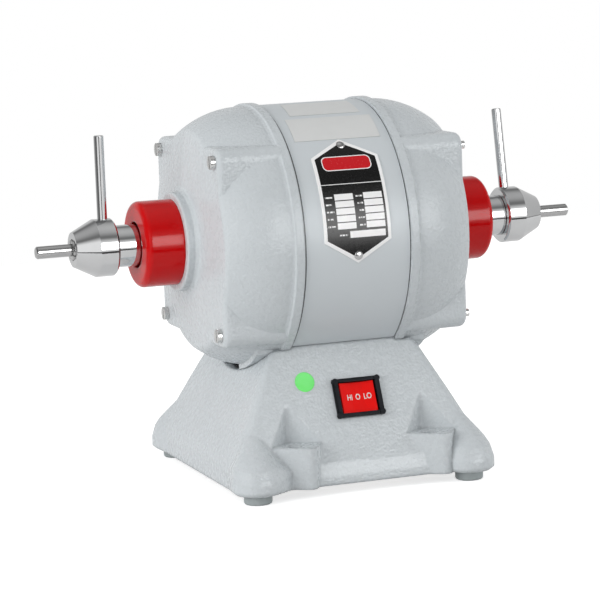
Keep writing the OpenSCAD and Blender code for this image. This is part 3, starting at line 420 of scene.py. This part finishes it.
def printed_marks(marks, node, body):
    """Generic marks on the face of a node, as thin solid letters that follow its curve."""
    tilt = math.atan((WALL_FOOT_Y - WALL_TOP_Y) / (WALL_TOP_Z - WALL_FOOT_Z))
    middle = Vector((SWITCH_X, -(WALL_TOP_Y + (WALL_TOP_Z - SWITCH_Z) * math.tan(tilt)), SWITCH_Z))
    on_wall = Matrix.Translation(middle) @ Matrix.Rotation(math.pi / 2 - tilt, 4, "X")
    outwards = on_wall.to_3x3() @ Vector((0, 0, 1))
    face = nodes[node].data
    tree = BVHTree.FromPolygons([v.co[:] for v in face.vertices], [p.vertices[:] for p in face.polygons])
    for name, text, along in marks:
        mesh = letters(name, text)
        for vertex in mesh.vertices:
            flat = on_wall @ Vector((vertex.co.x * MARK_NARROW + along, vertex.co.y, 0))
            hit = tree.ray_cast(flat + outwards * MARK_REACH, -outwards)[0]
            # Letters reach MARK_THICK to each side of their own plane; this lifts their back off the face
            vertex.co = hit + outwards * (vertex.co.z + 1.5 * MARK_THICK)
        mesh.materials.clear()
        mesh.materials.append(made["mark_white"])
        piece = bpy.data.objects.new(name, mesh)
        bpy.context.scene.collection.objects.link(piece)
        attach(piece, body)


# ---------------------------------------------------------------- stage

def floor():
    """A pale table top that keeps the shadow; the eye and metal see it a little brighter than it is lit."""
    front, back = FLOOR_Y
    corners = [(-FLOOR_X, front, 0), (FLOOR_X, front, 0), (FLOOR_X, back, 0), (-FLOOR_X, back, 0)]
    mesh = bpy.data.meshes.new("floor")
    mesh.from_pydata(corners, [], [(0, 1, 2, 3)])
    piece = bpy.data.objects.new("floor", mesh)
    bpy.context.scene.collection.objects.link(piece)

    material = bpy.data.materials.new("pale_floor")
    material.use_nodes = True
    n = Nodes(material.node_tree)
    n.tree.nodes.clear()
    path = n.add("ShaderNodeLightPath").outputs
    lift = n.math("ADD", n.math("MULTIPLY", path["Is Camera Ray"], FLOOR_FOR_EYE),
                  n.math("MULTIPLY", path["Is Glossy Ray"], FLOOR_IN_METAL))
    glow = n.add("ShaderNodeEmission", (("Strength", lift),)).outputs[0]
    tone = (FLOOR_TONE, FLOOR_TONE, FLOOR_TONE, 1)
    matt = n.add("ShaderNodeBsdfDiffuse", (("Color", tone),)).outputs[0]
    both = n.add("ShaderNodeAddShader", ((0, glow), (1, matt))).outputs[0]
    n.add("ShaderNodeOutputMaterial", (("Surface", both),))
    mesh.materials.append(material)


def studio():
    """World: white to the eye, an even soft light for the paint, and a lit room for metal to reflect."""
    world = bpy.data.worlds.new("studio")
    bpy.context.scene.world = world
    world.use_nodes = True
    n = Nodes(world.node_tree)
    n.tree.nodes.clear()

    def falling(value, low, high):
        """1 below low, 0 above high."""
        return n.math("SUBTRACT", 1.0, n.span(value, low, high))

    def between(value, low, high, soft):
        """1 from low to high, with soft edges."""
        return n.math("MULTIPLY", n.span(value, low - soft, low + soft),
                      falling(value, high - soft, high + soft))

    def ramp(value, stops):
        """The level at value, from stops of (degrees, level) in rising order."""
        first, last = stops[0][0], stops[-1][0]
        node = n.add("ShaderNodeValToRGB", ((0, n.span(value, first, last)),))
        elements = node.color_ramp.elements
        while len(elements) < len(stops):
            elements.new(0.5)
        for element, (degrees, level) in zip(elements, stops):
            element.position = (degrees - first) / (last - first)
            element.color = (level, level, level, 1)
        return node.outputs["Color"]

    def background(color, strength):
        return n.add("ShaderNodeBackground", (("Color", color), ("Strength", strength))).outputs[0]

    def choose(factor, where_0, where_1):
        return n.add("ShaderNodeMixShader", ((0, factor), (1, where_0), (2, where_1))).outputs[0]

    # Degrees above the horizon, and degrees round from the front towards -X
    x, y, z = n.split(n.add("ShaderNodeTexCoord").outputs["Generated"])
    up = n.math("MULTIPLY", n.math("ARCSINE", z), 180 / math.pi)
    left = n.math("ARCTAN2", n.math("MULTIPLY", x, -1.0), n.math("MULTIPLY", y, -1.0))
    left = n.math("MULTIPLY", left, 180 / math.pi)

    window = n.math("MULTIPLY", n.span(up, *WINDOW_FOOT), falling(up, *WINDOW_TOP))
    room = n.mix(window, ramp(up, ROOM_BY_HEIGHT), ramp(left, ROOM_BY_SIDE))
    core = n.math("MULTIPLY", between(left, *CORE_SIDES), between(up, *CORE_HEIGHTS))
    room = n.mix(1.0, room, n.math("MULTIPLY", core, CORE_LEVEL), blend="ADD")

    # Only a mirrored ray that hasn't met a matt surface sees the room, which keeps specks off the paint
    path = n.add("ShaderNodeLightPath").outputs
    no_matt_bounce = n.math("LESS_THAN", path["Diffuse Depth"], 0.5)
    mirrored = n.math("MULTIPLY", path["Is Glossy Ray"], no_matt_bounce)
    seen = n.math("MAXIMUM", path["Is Camera Ray"], path["Is Transmission Ray"])
    lit = choose(mirrored, background((1, 1, 1, 1), SOFT_LIGHT), background(room, ROOM_LIGHT))
    surface = choose(seen, lit, background((1, 1, 1, 1), WHITE_LIGHT))
    n.add("ShaderNodeOutputWorld", (("Surface", surface),))


def lamp(name, place, side, power):
    """A soft square lamp that lights the object and isn't itself reflected."""
    data = bpy.data.lights.new(name, "AREA")
    data.shape = "RECTANGLE"
    data.size = data.size_y = side
    data.energy = power
    piece = bpy.data.objects.new(name, data)
    piece.location = place
    piece.rotation_euler = (Vector(LAMP_TARGET) - Vector(place)).to_track_quat("-Z", "Y").to_euler()
    piece.visible_glossy = False
    piece.visible_camera = False
    bpy.context.scene.collection.objects.link(piece)


def camera():
    """The photograph's view."""
    azimuth, elevation, roll = (math.radians(a) for a in (CAMERA_AZIMUTH, CAMERA_ELEVATION, CAMERA_ROLL))
    forward = Vector((math.sin(azimuth) * math.cos(elevation), math.cos(azimuth) * math.cos(elevation),
                      -math.sin(elevation)))
    right = Vector((math.cos(azimuth), -math.sin(azimuth), 0))
    up = right.cross(forward)
    right, up = math.cos(roll) * right + math.sin(roll) * up, math.cos(roll) * up - math.sin(roll) * right
    data = bpy.data.cameras.new("camera")
    data.sensor_width = CAMERA_SENSOR
    data.lens = CAMERA_LENS
    data.clip_start, data.clip_end = CAMERA_CLIP
    piece = bpy.data.objects.new("camera", data)
    turn = Matrix((right, up, -forward)).transposed().to_4x4()
    piece.matrix_world = Matrix.Translation(CAMERA_PLACE) @ turn
    bpy.context.scene.collection.objects.link(piece)
    bpy.context.scene.camera = piece


printed_marks(MARKS, "switch_rocker", "rocker")
floor()
studio()
for row in LAMPS:
    lamp(*row)
camera()

bpy.context.scene.view_settings.view_transform = "Standard"
